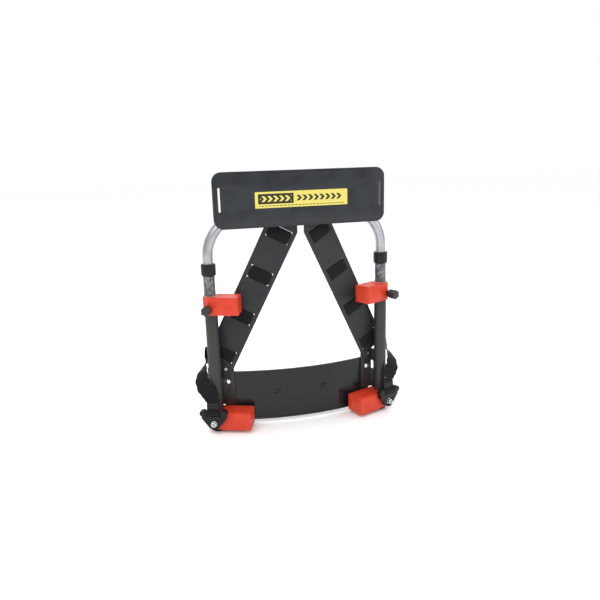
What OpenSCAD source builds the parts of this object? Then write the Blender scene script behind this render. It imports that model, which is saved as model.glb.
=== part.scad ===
// Carrying frame worn on the back: a telescoping tube hoop with a moulded head panel, two
// sheet strap panels in a V, a curved hip plate, swivelling load blocks and strap brackets.
// Load side faces -Y, the wearer stands on the +Y side, +Z is up. Millimetres.

/* [Frame] */
// Distance between the two tubes' axes
tube_gap = 400; // [360:5:440]
// Outer diameter of the lower tube
lower_d = 28.6; // [28.6:0.1:30]
// Height of the lower tube's top end
lower_top = 278; // [270:1:300]
// Height of the upper tube's top end
upper_top = 376; // [370:1:390]
// How far the tubes' plane stands behind the origin
plane_y = 12; // [-10:0.5:20]

/* [Hoop] */
// Outer diameter of the hoop tube
hoop_d = 22.2; // [22:0.1:22.2]
// Wall of the hoop tube
hoop_wall = 1.2; // [1:0.1:2]
// Radius of the hoop's two corners, on the tube's axis
hoop_bend = 92; // [80:1:100]

/* [Head panel] */
// Width of the head panel
panel_w = 374; // [360:1:390]
// Height of the head panel
panel_h = 117; // [110:1:120]
// Depth of the head panel's tray
panel_t = 15; // [14:1:16]
// Wall of the tray
panel_wall = 4; // [3:0.5:5]
// Corner radius of the head panel
panel_r = 20; // [14:1:26]
// Length of the strap slots in the panel
slot_l = 50; // [40:1:60]
// Width of the strap slots in the panel
slot_w = 4.5; // [4.2:0.1:6]

/* [Strap panels] */
// Width of a strap panel, square to its length
strap_w = 68; // [60:1:70]
// Thickness of a strap panel
strap_t = 3; // [2:0.5:3]
// Slope of a strap panel in front view, in degrees from upright
strap_angle = 25.5; // [24:0.5:27]
// Distance between two lacings along a strap panel
lacing_pitch = 101.5; // [96:0.5:104]
// Width of the lacing webbing
lacing_w = 50; // [40:1:50]

/* [Hip plate] */
// Height of the hip plate
plate_h = 121; // [110:1:125]
// Width of the hip plate
plate_w = 356; // [350:1:366]
// Radius of the hip plate's curve
plate_bend = 560; // [500:10:700]
// Thickness of the hip plate
plate_t = 4; // [3:0.5:5]

/* [Load blocks] */
// Length of an upper block from the tube's axis
upper_block_l = 66; // [60:1:80]
// Length of a lower block from the tube's axis
lower_block_l = 82; // [70:1:90]
// Thickness of a block's clamp half, from the tube's axis
block_front = 24; // [22:1:25]
// Thickness of an upper block's other half, from the tube's axis
upper_back = 17; // [17:0.5:20]
// Thickness of a lower block's other half, from the tube's axis
lower_back = 23; // [20:1:24]
// Height of a block
block_h = 40; // [36:1:42]
// Height of the upper blocks' underside
upper_block_z = 279; // [279:1:290]
// Height of the lower blocks' underside
lower_block_z = 9.5; // [9.5:0.5:12]
// Swivel of the left upper block, in degrees
swivel_ul = 20; // [15:1:35]
// Swivel of the right upper block, in degrees
swivel_ur = 27; // [15:1:35]
// Swivel of the two lower blocks, in degrees
swivel_low = 22; // [15:1:30]

/* [Hidden] */

$fn = 96;
eps = 0.01;
left = -1;
right = 1;

// Running clearance of a sliding or turning fit, on the radius
run_gap = 0.07;
// Gap between faces of pieces that move past each other
face_gap = 0.3;

half_gap = tube_gap / 2;
lower_r = lower_d / 2;
tube_wall = 1.5;
upper_r = lower_r - tube_wall - 0.05;
hoop_r = hoop_d / 2;
lower_foot = 4;
upper_foot = 60;
hoop_foot = 215;

// Collar and collet at the top of each upper tube
collar_r = 16.3;
collar_h = 27;
collar_top = 390;
collar_z = collar_top - collar_h;
collet_r = 13.8;
collet_z = upper_top + 0.1;
collet_h = 11.4;

// Forward lean of the hoop above the collars, as a sine and cosine, and its corners
lean_sin = 0.07584;
lean_cos = 0.99712;
hoop_lean = asin(lean_sin);
lean_z = 400;
lean_bend = 50;
bar_z = lean_z + lean_bend * lean_sin + hoop_bend * lean_cos;
bar_y = -lean_bend * (1 - lean_cos) - hoop_bend * lean_sin;
bar_half = half_gap - hoop_bend;

// Head panel
panel_z = 468;
panel_mid_z = panel_z + panel_h / 2;
panel_front = -58;
panel_step = 5;
panel_inset = 5.5;
slot_x = 174.5;
slot_mid_z = 529;
label_w = 201;
label_h = 33.5;
label_t = 0.6;
clip_x = 97;
clip_w = 14;
clip_r = 14.5;

// Hip plate and its fixings
plate_z = 9;
plate_y = -8;
plate_r = 24;
hip_fastener_x = 56.5;
hip_fastener_z = 74.5;
bolt_x = 169.8;
bolt_z = 106;
tab_y = plate_y + plate_bend * (1 - cos(asin(bolt_x / plate_bend)));
tab_back = 0.2;
tab_t = 4;
rivet_x = 1.5;
rivet_z = 139.5;
saddle_t = 3;
saddle_z = 51;
saddle_top = 148;
m8_r = 4;

// Strap panels: each stands in an upright plane fanned to meet the saddle tab
strap_top_z = panel_z + 1;
strap_fan = asin(bolt_x / plate_bend);
strap_pin_x = 37;
strap_pin_y = tab_y - (tab_back + tab_t + 0.2 + strap_t / 2) / cos(strap_fan)
  - (bolt_x - strap_pin_x) * tan(strap_fan);
strap_rise = 71;
strap_run = tan(strap_angle);
strap_slope = atan(strap_run / cos(strap_fan));
strap_inner = -1.1;
strap_outer = strap_inner + strap_w / cos(strap_angle);
strap_gap = 7.5;
strap_cut = 194;
strap_low_cut = half_gap - lower_r - 3.2;
strap_foot = 352;
lacing_first = 22;
lacing_l = 27;
web_t = 2;
lace_slot_w = 3.6;

// Blocks
liner_t = 1.85;
end_r = 16.5;
seam = 0.1;
insert_r = 6;
insert_t = 20.2;
knob_r = 10.5;
knob_t = 30;
knob_l = 20;
pivot_z = 17;
knob_z = 15;

// Strap brackets
bracket_t = 10;
bracket_off = block_front + face_gap;
bracket_foot_r = 14;
lobe_x = 24.2;
lobe_y = 26;
lobe_r = 7.5;
bar_r = 4;
bar_out = 7.2;
web_w = 32;

// Mirrors its children for the left side only
module sided(side) {
  if (side == left) mirror([1, 0, 0]) children();
  else children();
}

module both_sides() {
  children();
  mirror([1, 0, 0]) children();
}

// A cylinder along Y, from y to y + l
module along_y(r, l, y = 0) {
  translate([0, y, 0]) rotate([-90, 0, 0]) cylinder(r = r, h = l);
}

module tube(r, wall, z, top) {
  translate([0, 0, z]) difference() {
    cylinder(r = r, h = top - z);
    translate([0, 0, -1]) cylinder(r = r - wall, h = top - z + 2);
  }
}

// Round-cornered plate that stands in the XZ plane, from y to y + t
module upright_plate(w, h, r, t, y) {
  translate([0, y + t, 0]) rotate([90, 0, 0]) linear_extrude(t) round_rect(w, h, r);
}

module round_rect(w, h, r) {
  square([w - 2 * r, h], center = true);
  square([w, h - 2 * r], center = true);
  for (x = [-1, 1])
    for (y = [-1, 1])
      translate([x * (w / 2 - r), y * (h / 2 - r)]) circle(r = r);
}

// ---- hoop and head panel -------------------------------------------------

// Moves children to where a leg has leaned forward, with Z along the tube
module leaned() {
  translate([0, -lean_bend, lean_z]) rotate([hoop_lean, 0, 0]) translate([0, lean_bend, 0])
    children();
}

// Leg and forward lean on one side, as a solid rod
module hoop_leg(side, r) {
  translate([side * half_gap, 0, hoop_foot]) cylinder(r = r, h = lean_z - hoop_foot);
  translate([side * half_gap, -lean_bend, lean_z])
    rotate([0, 90, 0]) rotate([0, 0, 90])
      rotate_extrude(angle = hoop_lean) translate([lean_bend, 0]) circle(r = r);
}

module hoop_corner(side, r) {
  leaned() translate([side * bar_half, 0, 0]) rotate([90, 0, 0])
    rotate([0, 0, side == left ? 90 : 0])
      rotate_extrude(angle = 90) translate([hoop_bend, 0]) circle(r = r);
}

module hoop_rod(r) {
  for (side = [left, right]) {
    hoop_leg(side, r);
    hoop_corner(side, r);
  }
  leaned() translate([-bar_half, 0, hoop_bend]) rotate([0, 90, 0])
    cylinder(r = r, h = 2 * bar_half);
}

module hoop_tube() {
  color("silver") translate([0, plane_y, 0]) difference() {
    hoop_rod(hoop_r);
    hoop_rod(hoop_r - hoop_wall);
    both_sides() translate([half_gap, 0, hoop_foot - 1])
      cylinder(r = hoop_r - hoop_wall, h = 10);
  }
}

module head_panel() {
  color([0.12, 0.13, 0.14]) translate([0, plane_y, panel_mid_z]) difference() {
    union() {
      upright_plate(panel_w, panel_h, panel_r, panel_t - panel_step, panel_front + panel_step);
      upright_plate(panel_w - 2 * panel_inset, panel_h - 2 * panel_inset,
        panel_r - panel_inset, panel_step + eps, panel_front);
      both_sides() clip_boss();
    }
    difference() {
      upright_plate(panel_w - 2 * (panel_inset + panel_wall),
        panel_h - 2 * (panel_inset + panel_wall),
        panel_r - panel_inset - panel_wall, panel_t, panel_front + panel_wall);
      both_sides() clip_boss();
    }
    both_sides() translate([slot_x, 0, slot_mid_z - panel_mid_z]) strap_slot();
    translate([0, 0, -1])
      upright_plate(label_w + 0.6, label_h + 0.6, 1.8, label_t + 1, panel_front - 1);
  }
}

// Solid pad inside the tray that a clip is screwed to
module clip_boss() {
  translate([clip_x - clip_w / 2, panel_front + 1, bar_z - panel_mid_z - 15])
    cube([clip_w, 10, 30]);
}

module strap_slot() {
  translate([0, panel_front - 1, 0]) {
    translate([-slot_w / 2, 0, -slot_l / 2 + slot_w / 2])
      cube([slot_w, panel_t + 2, slot_l - slot_w]);
    for (z = [-1, 1])
      translate([0, 0, z * (slot_l - slot_w) / 2]) along_y(slot_w / 2, panel_t + 2);
  }
}

module label_plate() {
  color("gold") translate([0, plane_y, panel_mid_z - 1])
    upright_plate(label_w, label_h, 1.5, label_t, panel_front);
}

module panel_clips() {
  boss_face = panel_front + 11;
  color([0.1, 0.1, 0.1]) translate([0, plane_y, 0]) both_sides() difference() {
    union() {
      translate([clip_x - clip_w / 2, bar_y, bar_z]) rotate([0, 90, 0])
        cylinder(r = clip_r, h = clip_w);
      translate([clip_x - clip_w / 2, boss_face, bar_z - 15])
        cube([clip_w, bar_y - boss_face, 30]);
    }
    translate([clip_x - clip_w, bar_y, bar_z]) rotate([0, 90, 0])
      cylinder(r = hoop_r + 0.02, h = 2 * clip_w);
    for (z = [-10.5, 10.5])
      translate([clip_x, 0, bar_z + z]) {
        along_y(2.1, 60, boss_face - 1);
        along_y(3.9, 60, boss_face + 4);
      }
  }
}

module clip_screws() {
  boss_face = panel_front + 11;
  color("silver") translate([0, plane_y, 0]) both_sides()
    for (z = [-10.5, 10.5])
      translate([clip_x, 0, bar_z + z]) {
        along_y(2, 4.2, boss_face);
        difference() {
          along_y(3.6, 3, boss_face + 4.1);
          along_y(1.5, 3, boss_face + 5.4);
        }
      }
}

// ---- tubes and collars ----------------------------------------------------

module upper_tube(side) {
  color([0.5, 0.51, 0.52]) translate([side * half_gap, plane_y, 0])
    tube(upper_r, upper_r - hoop_r - run_gap, upper_foot, upper_top);
}

module lower_tube(side) {
  color([0.1, 0.1, 0.11]) translate([side * half_gap, plane_y, 0])
    tube(lower_r, lower_r - upper_r - 0.02, lower_foot, lower_top);
}

module end_caps() {
  color([0.06, 0.06, 0.06]) translate([0, plane_y, 0]) both_sides()
    translate([half_gap, 0, 0]) {
      cylinder(r = lower_r, h = lower_foot);
      cylinder(r = upper_r - 0.1, h = lower_foot + 8);
    }
}

module collets() {
  color([0.7, 0.7, 0.68]) translate([0, plane_y, 0]) both_sides()
    translate([half_gap, 0, 0]) difference() {
      tube(collet_r, collet_r - hoop_r - run_gap, collet_z, collet_z + collet_h);
      translate([0, -1, collet_z + 2]) cube([20, 2, collet_h]);
    }
}

module tube_rivets() {
  color("silver") translate([0, plane_y, 0]) both_sides()
    for (z = [230, 262])
      translate([half_gap, 0, z]) intersection() {
        along_y(3.2, 20);
        difference() {
          sphere(r = lower_r + 1.4);
          cylinder(r = lower_r + 0.02, h = 20, center = true);
        }
      }
}

// Twist collar: turns on the upper tube and closes the collet on the hoop
module collar(side) {
  color([0.09, 0.09, 0.1]) translate([side * half_gap, plane_y, 0]) difference() {
    union() {
      translate([0, 0, collar_z + 3]) cylinder(r = collar_r, h = collar_h - 4.5);
      translate([0, 0, collar_z]) cylinder(r1 = collar_r - 2.2, r2 = collar_r, h = 3 + eps);
      translate([0, 0, collar_top - 1.5 - eps])
        cylinder(r1 = collar_r, r2 = collar_r - 1.5, h = 1.5 + eps);
    }
    translate([0, 0, collar_z - 1]) cylinder(r = upper_r + run_gap, h = collar_h);
    translate([0, 0, collet_z - 1]) cylinder(r = collet_r + face_gap, h = collet_h + 1.3);
    cylinder(r = hoop_r + face_gap, h = collar_top + 1);
  }
}

// ---- strap panels -----------------------------------------------------------

// Moves children into a right-hand strap panel's own plane: X across it, Z up it
module strap_plane() {
  translate([strap_pin_x, plane_y + strap_pin_y, strap_top_z]) rotate([0, 0, strap_fan])
    children();
}

// Distance in the strap panel's plane of a point seen from the front
function across(x) = (x - strap_pin_x) / cos(strap_fan);

// Moves children to a distance down the panel's middle line, turned to its slope
module down_strap(s) {
  strap_plane()
    translate([across((strap_inner + strap_outer) / 2) + s * sin(strap_slope), 0,
        -s * cos(strap_slope)])
      rotate([0, -strap_slope, 0]) children();
}

// Moves children to the middle of the saddle tab, Y square to the hip plate's front face
module at_tab(z) {
  translate([bolt_x, tab_y, z]) rotate([0, 0, strap_fan]) children();
}

strap_kink = (strap_gap - strap_inner) / strap_run;
strap_cut_drop = (strap_cut - strap_outer) / strap_run;
strap_foot_x = strap_inner + (strap_foot - 14) * strap_run;

module strap_outline() {
  polygon([
    [across(strap_gap), strap_rise],
    [across(strap_gap), -strap_kink],
    [across(strap_foot_x), -(strap_foot - 14)],
    [across(strap_foot_x + 13), -strap_foot],
    [across(strap_low_cut), -strap_foot],
    [across(strap_low_cut), -strap_foot + 33],
    [across(strap_cut), -strap_foot + 41],
    [across(strap_cut), -strap_cut_drop],
    [across(strap_outer), 0],
    [across(44), strap_rise]
  ]);
}

module strap_panel(side) {
  color([0.24, 0.25, 0.26]) sided(side) difference() {
    strap_plane() translate([0, strap_t / 2, 0]) rotate([90, 0, 0])
      linear_extrude(strap_t) strap_outline();
    for (i = [0:3])
      for (end = [-1, 1])
        down_strap(lacing_first + i * lacing_pitch + end * lacing_l / 2)
          cube([lacing_w + 2, 3 * strap_t, lace_slot_w], center = true);
    translate([0, plane_y, 0]) rivet_hole();
  }
}

module rivet_hole() {
  at_tab(rivet_z) translate([rivet_x, 0, 0]) along_y(2.05, 30, -20);
}

// Webbing loops threaded round the bridge between two slots
module lacing(side) {
  ring_l = lacing_l + web_t;
  ring_y = strap_t + 0.6 + 2 * web_t;
  color([0.14, 0.14, 0.15]) sided(side) intersection() {
    union()
      for (i = [0:3])
        down_strap(lacing_first + i * lacing_pitch) difference() {
          cube([lacing_w, ring_y, ring_l], center = true);
          cube([lacing_w + 2, strap_t + 0.6, ring_l - 2 * web_t], center = true);
        }
    translate([0, -100, 0]) cube([strap_cut - 1, 200, 600]);
  }
}

// ---- hip plate and saddles ---------------------------------------------------

module plate_shell(r, t) {
  translate([0, plane_y + plate_y + plate_bend, 0]) difference() {
    cylinder(r = r, h = 200, $fn = 360);
    translate([0, 0, -1]) cylinder(r = r - t, h = 202, $fn = 360);
  }
}

module plate_prism(w, h, r, z) {
  translate([0, 0, z + h / 2]) upright_plate(w, h, r, 130, -60);
}

module hip_plate() {
  color([0.1, 0.105, 0.11]) difference() {
    union() {
      intersection() {
        plate_shell(plate_bend, plate_t);
        plate_prism(plate_w, plate_h, plate_r, plate_z);
      }
      intersection() {
        translate([0, plane_y + plate_y + plate_bend, plate_z + 3])
          rotate_extrude($fn = 360) translate([plate_bend - 1, 0]) circle(r = 3, $fn = 32);
        translate([-(plate_w / 2 - plate_r), -70, 0]) cube([plate_w - 2 * plate_r, 140, 40]);
      }
    }
    translate([0, plane_y, 0]) both_sides() at_tab(bolt_z) along_y(m8_r + 0.2, 30, -10);
    both_sides() translate([hip_fastener_x, -40, hip_fastener_z]) along_y(3, 80);
  }
}

// Four-petal screw plates that hold the hip pad
module hip_fasteners() {
  y = plane_y + plate_y + plate_bend * (1 - cos(asin(hip_fastener_x / plate_bend)));
  color([0.03, 0.03, 0.03]) both_sides()
    translate([hip_fastener_x, y, hip_fastener_z]) rotate([0, 0, 5.8]) {
      difference() {
        union() {
          for (a = [45:90:315])
            rotate([0, a, 0]) translate([6.6, 0, 0]) along_y(3.3, 2, -2.2);
          along_y(4.4, 2.6, -2.8);
        }
        along_y(1.8, 3, -3.5);
      }
      along_y(2.5, 9, -0.3);
    }
}

module hip_pad() {
  color([0.16, 0.16, 0.17]) difference() {
    intersection() {
      plate_shell(plate_bend - plate_t - 0.4, 14);
      plate_prism(292, 104, 30, plate_z + 8);
    }
    both_sides() translate([hip_fastener_x, -20, hip_fastener_z]) along_y(3.8, 60);
  }
}

// Half shell behind the tube with a tab that the strap panel and hip plate bolt to
module saddle(side) {
  color([0.08, 0.08, 0.085]) sided(side) translate([0, plane_y, 0]) difference() {
    union() {
      translate([half_gap, 0, 0]) intersection() {
        tube(lower_r + 0.05 + saddle_t, saddle_t, saddle_z, saddle_top);
        translate([-25, 8, 0]) cube([50, 30, 200]);
      }
      at_tab(saddle_z) linear_extrude(saddle_top - saddle_z) tab_plan();
    }
    translate([half_gap, 0, 0]) cylinder(r = lower_r + 0.05, h = 200);
    at_tab(bolt_z) along_y(m8_r + 0.2, 30, -20);
    translate([184, 0, bolt_z - 9]) cube([6, 40, 22]);
    rivet_hole();
  }
}

// The tab seen from above, with the web that joins it to the half shell
module tab_plan() {
  front = -tab_back - tab_t;
  polygon([
    [-16, front], [-16, -tab_back], [15, -tab_back], [21, -8.8], [16.5, -13], [13, front]
  ]);
}

module saddle_bolts() {
  head = -tab_back - tab_t;
  color("white") translate([0, plane_y, 0]) both_sides() at_tab(bolt_z) {
    along_y(m8_r, 21, head - 0.5);
    intersection() {
      translate([0, head + 3.4, 0]) sphere(r = 8);
      along_y(6.6, 5, head - 5.05);
    }
  }
}

module saddle_nuts() {
  color("silver") translate([0, plane_y, 0]) both_sides()
    at_tab(bolt_z) translate([0, plate_t + 0.3, 0]) difference() {
      union() {
        along_y(8, 1.5);
        rotate([-90, 0, 0]) cylinder(r = 7, h = 7, $fn = 6);
      }
      along_y(m8_r + 0.02, 12, -1);
    }
}

module strap_rivets() {
  front = -tab_back - tab_t - 0.2 - strap_t;
  color("silver") translate([0, plane_y, 0]) both_sides()
    at_tab(rivet_z) translate([rivet_x, 0, 0]) {
      along_y(2, -front + 0.5, front - 0.5);
      along_y(3.4, 1.4, front - 1.45);
      along_y(3.4, 1.2, -tab_back + 0.05);
    }
}

// ---- harness on the wearer's side --------------------------------------------

// Bulge of a shoulder strap behind its strap panel, at a share of its length
function bulge(k) = 6 + 16 * sin(180 * k);

module shoulder_strap(side) {
  steps = 16;
  strap_l = 290;
  pad_t = 11;
  near = [for (i = [0:steps]) [-strap_l * i / steps, bulge(i / steps)]];
  far = [for (i = [steps:-1:0]) [-strap_l * i / steps, bulge(i / steps) + pad_t]];
  color([0.13, 0.13, 0.14]) sided(side) down_strap(14)
    translate([-28, 0, 0]) rotate([0, 0, 90]) rotate([90, 0, 0]) linear_extrude(56)
      polygon([for (p = concat(near, far)) [p[1], p[0]]]);
}

// Where the tail passes round the tube: distance and angle from its axis, and height
tail_route = [
  [24, 82, 184],
  [25, 62, 165],
  [27, 38, 146],
  [30, 10, 127],
  [30, -22, 107]
];
tail_w = 34;

module tail_slab(p) {
  rotate([0, 0, p[1]]) translate([p[0], 0, p[2]]) cube([2.6, tail_w, 2], center = true);
}

module strap_tail(side) {
  color([0.12, 0.12, 0.13]) sided(side) translate([half_gap, plane_y, 0])
    for (i = [0:len(tail_route) - 2])
      hull() {
        tail_slab(tail_route[i]);
        tail_slab(tail_route[i + 1]);
      }
}

// ---- load blocks ----------------------------------------------------------------

// Block frame: X runs from the tube along the block, -Y is the outward clamp face
module block_frame(side, swivel, z) {
  sided(side) translate([half_gap, plane_y, z]) mirror([1, 0, 0]) rotate([0, 0, -swivel])
    children();
}

// The sides slope in to a round end, which they meet a little inside its radius
module block_outline(length, back) {
  meet_r = 0.97 * end_r;
  back_turn = acos(end_r / back);
  front_turn = acos(end_r / block_front);
  circle(r = end_r);
  polygon([
    [length, back],
    [0, back],
    [-meet_r * sin(back_turn), meet_r * cos(back_turn)],
    [-meet_r * sin(front_turn), -meet_r * cos(front_turn)],
    [0, -block_front],
    [length, -block_front]
  ]);
}

// One moulded half: face is -1 for the clamp side and 1 for the side towards the hoop
module block_half(face, bore, length, back, hole_z) {
  color([0.82, 0.16, 0.13]) difference() {
    linear_extrude(block_h) block_outline(length, back);
    translate([-50, face < 0 ? -seam : -50 - seam, -1])
      cube([200, 50 + 2 * seam, block_h + 2]);
    translate([0, 0, -1]) cylinder(r = bore, h = block_h + 2);
    translate([length - 1.2, face < 0 ? -3 : 0, -1]) cube([2, 3, 5]);
    if (face < 0) translate([0, 0, hole_z]) along_y(insert_r + 0.02, 60, -60);
  }
}

module upper_half(side, swivel, face) {
  block_frame(side, swivel, upper_block_z)
    block_half(face, liner_r + run_gap, upper_block_l, upper_back, knob_z);
}

module lower_half(side, face) {
  block_frame(side, swivel_low, lower_block_z)
    block_half(face, lower_r + run_gap, lower_block_l, lower_back, pivot_z);
}

liner_bore = upper_r + run_gap;
liner_r = liner_bore + liner_t;

module liner(side, swivel) {
  color([0.8, 0.8, 0.76]) block_frame(side, swivel, upper_block_z)
    tube(liner_r, liner_t, 0, block_h);
}

module insert_upper(side, swivel) {
  color([0.75, 0.6, 0.25]) block_frame(side, swivel, upper_block_z + knob_z) difference() {
    along_y(insert_r, block_front - insert_t, -block_front);
    along_y(m8_r + run_gap, 20, -block_front - 1);
  }
}

module shoe(side, swivel) {
  color([0.85, 0.85, 0.8]) block_frame(side, swivel, upper_block_z + knob_z)
    along_y(5.5, 2.3, -(liner_r + face_gap + 2.3));
}

module knob(side, swivel) {
  color([0.07, 0.07, 0.075]) block_frame(side, swivel, upper_block_z + knob_z) {
    along_y(m8_r, knob_t - liner_r - 2.8, -knob_t);
    difference() {
      union() {
        along_y(7, 6 - face_gap, -knob_t);
        along_y(knob_r, knob_l, -knob_t - knob_l);
      }
      for (a = [0:60:300])
        rotate([0, a, 0]) translate([knob_r + 2.2, 0, 0])
          along_y(4.2, knob_l + 2, -knob_t - knob_l - 1);
    }
  }
}

// ---- strap brackets -------------------------------------------------------------

module bracket_bolt(side) {
  color("silver") block_frame(side, swivel_low, lower_block_z + pivot_z) {
    along_y(m8_r, 25.5, -block_front - 19.5);
    along_y(insert_r, block_front - lower_r - 1, -block_front);
  }
}

module bracket_nut(side) {
  outer = block_front + bracket_t + 2 * face_gap;
  color("white") block_frame(side, swivel_low, lower_block_z + pivot_z) difference() {
    union() {
      along_y(7, 1.4, -outer + 3 - 1.4);
      rotate([90, 0, 0]) translate([0, 0, outer - 3 + 1.4 - eps])
        cylinder(r = 6.4, h = 5.4, $fn = 6);
      intersection() {
        along_y(5.2, 6, -outer + 1.6 - 8.6);
        translate([0, -outer - 0.6, 0]) sphere(r = 6.2);
      }
    }
    along_y(m8_r + 0.02, 20, -block_front - 19.6);
  }
}

// Triangular casting with two lobes that carry the strap bar; it turns on its bolt
module bracket(side) {
  color([0.07, 0.07, 0.075]) block_frame(side, swivel_low, lower_block_z + pivot_z)
    translate([0, -bracket_off, 0]) rotate([90, 0, 0]) union() {
      difference() {
        bracket_plate();
        translate([0, 0, -1]) cylinder(r = m8_r + run_gap, h = bracket_t + 2);
        translate([0, 0, bracket_t - 3]) cylinder(r = 10, h = 4);
        translate([-web_w / 2 - 0.6, 18.8, -1]) cube([web_w + 1.2, 40, bracket_t + 6]);
      }
      translate([-lobe_x, lobe_y, bar_out]) rotate([0, 90, 0])
        cylinder(r = bar_r, h = 2 * lobe_x);
    }
}

module bracket_plate() {
  linear_extrude(bracket_t) hull() {
    circle(r = bracket_foot_r, $fn = 48);
    for (x = [-1, 1])
      translate([x * (lobe_x - 1), 15]) circle(r = 5, $fn = 32);
  }
  for (x = [-1, 1]) {
    translate([x * lobe_x - 3.5, 12, 0]) cube([7, lobe_y - 12, bracket_t]);
    translate([x * lobe_x, lobe_y, 0]) cylinder(r = lobe_r, h = bracket_t + 2);
  }
}

// Webbing sewn round the strap bar, with its two layers running up to the tail
module web_loop(side) {
  color([0.12, 0.12, 0.13]) block_frame(side, swivel_low, lower_block_z + pivot_z)
    translate([0, -bracket_off, 0]) rotate([90, 0, 0])
      translate([-web_w / 2 + 0.8, lobe_y, bar_out]) rotate([90, 0, 90])
        linear_extrude(web_w - 1.6) difference() {
          union() {
            circle(r = bar_r + 2.6, $fn = 48);
            rotate(-8) translate([0, -2.6]) square([32, 5.2]);
          }
          circle(r = bar_r + 0.4, $fn = 48);
        }
}

// ---- one line per sub-part ---------------------------------------------------------

hoop_tube();
head_panel();
label_plate();
panel_clips();
clip_screws();
upper_tube(left);  // upper_tube_left
upper_tube(right);  // upper_tube_right
lower_tube(left);  // lower_tube_left
lower_tube(right);  // lower_tube_right
end_caps();
collets();
tube_rivets();
collar(left);  // collar_left
collar(right);  // collar_right
strap_panel(left);  // strap_panel_left
strap_panel(right);  // strap_panel_right
lacing(left);  // lacing_left
lacing(right);  // lacing_right
hip_plate();
hip_fasteners();
hip_pad();
saddle(left);  // saddle_left
saddle(right);  // saddle_right
saddle_bolts();
saddle_nuts();
strap_rivets();
shoulder_strap(left);  // shoulder_strap_left
shoulder_strap(right);  // shoulder_strap_right
strap_tail(left);  // strap_tail_left
strap_tail(right);  // strap_tail_right
liner(left, swivel_ul);  // liner_upper_left
liner(right, swivel_ur);  // liner_upper_right
upper_half(left, swivel_ul, -1);  // block_front_upper_left
upper_half(right, swivel_ur, -1);  // block_front_upper_right
upper_half(left, swivel_ul, 1);  // block_back_upper_left
upper_half(right, swivel_ur, 1);  // block_back_upper_right
insert_upper(left, swivel_ul);  // insert_upper_left
insert_upper(right, swivel_ur);  // insert_upper_right
shoe(left, swivel_ul);  // shoe_upper_left
shoe(right, swivel_ur);  // shoe_upper_right
knob(left, swivel_ul);  // knob_upper_left
knob(right, swivel_ur);  // knob_upper_right
lower_half(left, -1);  // block_front_lower_left
lower_half(right, -1);  // block_front_lower_right
lower_half(left, 1);  // block_back_lower_left
lower_half(right, 1);  // block_back_lower_right
bracket_bolt(left);  // bracket_bolt_left
bracket_bolt(right);  // bracket_bolt_right
bracket_nut(left);  // bracket_nut_left
bracket_nut(right);  // bracket_nut_right
bracket(left);  // bracket_left
bracket(right);  // bracket_right
web_loop(left);  // web_loop_left
web_loop(right);  // web_loop_right
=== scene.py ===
"""Looks of a back-carried pack frame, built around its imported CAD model. Lengths are in metres."""

import logging
import math
from dataclasses import dataclass, field
from enum import Enum
from typing import Callable, Iterable, Sequence

import bmesh
import bpy
from mathutils import Matrix, Vector
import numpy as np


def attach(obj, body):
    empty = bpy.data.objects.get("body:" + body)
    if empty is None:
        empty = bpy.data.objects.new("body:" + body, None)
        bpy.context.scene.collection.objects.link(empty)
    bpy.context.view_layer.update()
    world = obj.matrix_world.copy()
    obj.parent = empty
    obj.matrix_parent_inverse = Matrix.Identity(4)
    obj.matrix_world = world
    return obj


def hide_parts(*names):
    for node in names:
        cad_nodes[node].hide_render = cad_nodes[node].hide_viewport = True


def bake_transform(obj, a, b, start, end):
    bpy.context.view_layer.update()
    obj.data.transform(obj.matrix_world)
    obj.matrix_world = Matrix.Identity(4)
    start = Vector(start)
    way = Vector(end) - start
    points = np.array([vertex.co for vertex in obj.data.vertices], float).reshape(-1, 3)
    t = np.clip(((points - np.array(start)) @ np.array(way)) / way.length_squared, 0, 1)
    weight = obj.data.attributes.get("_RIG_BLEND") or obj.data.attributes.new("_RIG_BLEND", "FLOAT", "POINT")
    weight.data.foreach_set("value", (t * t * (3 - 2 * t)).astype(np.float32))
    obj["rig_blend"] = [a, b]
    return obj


log = logging.getLogger("pack_frame")

MM = 0.001
SHEEN_ROUGHNESS = 0.5
CLOTH_PRESSURE = 4.0
CLOTH_FRAMES = 20


class Side(Enum):
    """The two sides of the object, seen from the load side."""

    LEFT = "left"
    RIGHT = "right"

    @property
    def sign(self) -> int:
        """Minus one on the left, one on the right."""
        return -1 if self is Side.LEFT else 1


class Level(Enum):
    """The two heights at which load blocks are clamped."""

    UPPER = "upper"
    LOWER = "lower"


# ---- colour and shader nodes ---------------------------------------------------


def linear(hex_colour: str) -> tuple[float, float, float, float]:
    """Turns an sRGB hex colour to linear RGBA.

    Args:
        hex_colour: six hex digits after a hash sign.

    Returns:
        Red, green, blue and alpha, from 0 to 1.
    """
    parts = [int(hex_colour[i:i + 2], 16) / 255 for i in (1, 3, 5)]
    red, green, blue = (c / 12.92 if c <= 0.04045 else ((c + 0.055) / 1.055) ** 2.4 for c in parts)
    return red, green, blue, 1.0


def add_node(
    tree: bpy.types.NodeTree,
    kind: str,
    settings: dict | None = None,
    inputs: dict | None = None,
) -> bpy.types.Node:
    """Adds a shader node with its settings and inputs.

    Args:
        tree: the material's node tree.
        kind: the node's type name, such as ShaderNodeTexNoise.
        settings: properties of the node.
        inputs: values or output sockets, by input name or number.

    Returns:
        The new node.
    """
    node = tree.nodes.new(kind)
    for key, value in (settings or {}).items():
        setattr(node, key, value)
    for key, value in (inputs or {}).items():
        if isinstance(value, bpy.types.NodeSocket):
            tree.links.new(value, node.inputs[key])
        else:
            node.inputs[key].default_value = value
    return node


# ---- finishes --------------------------------------------------------------------


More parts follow.
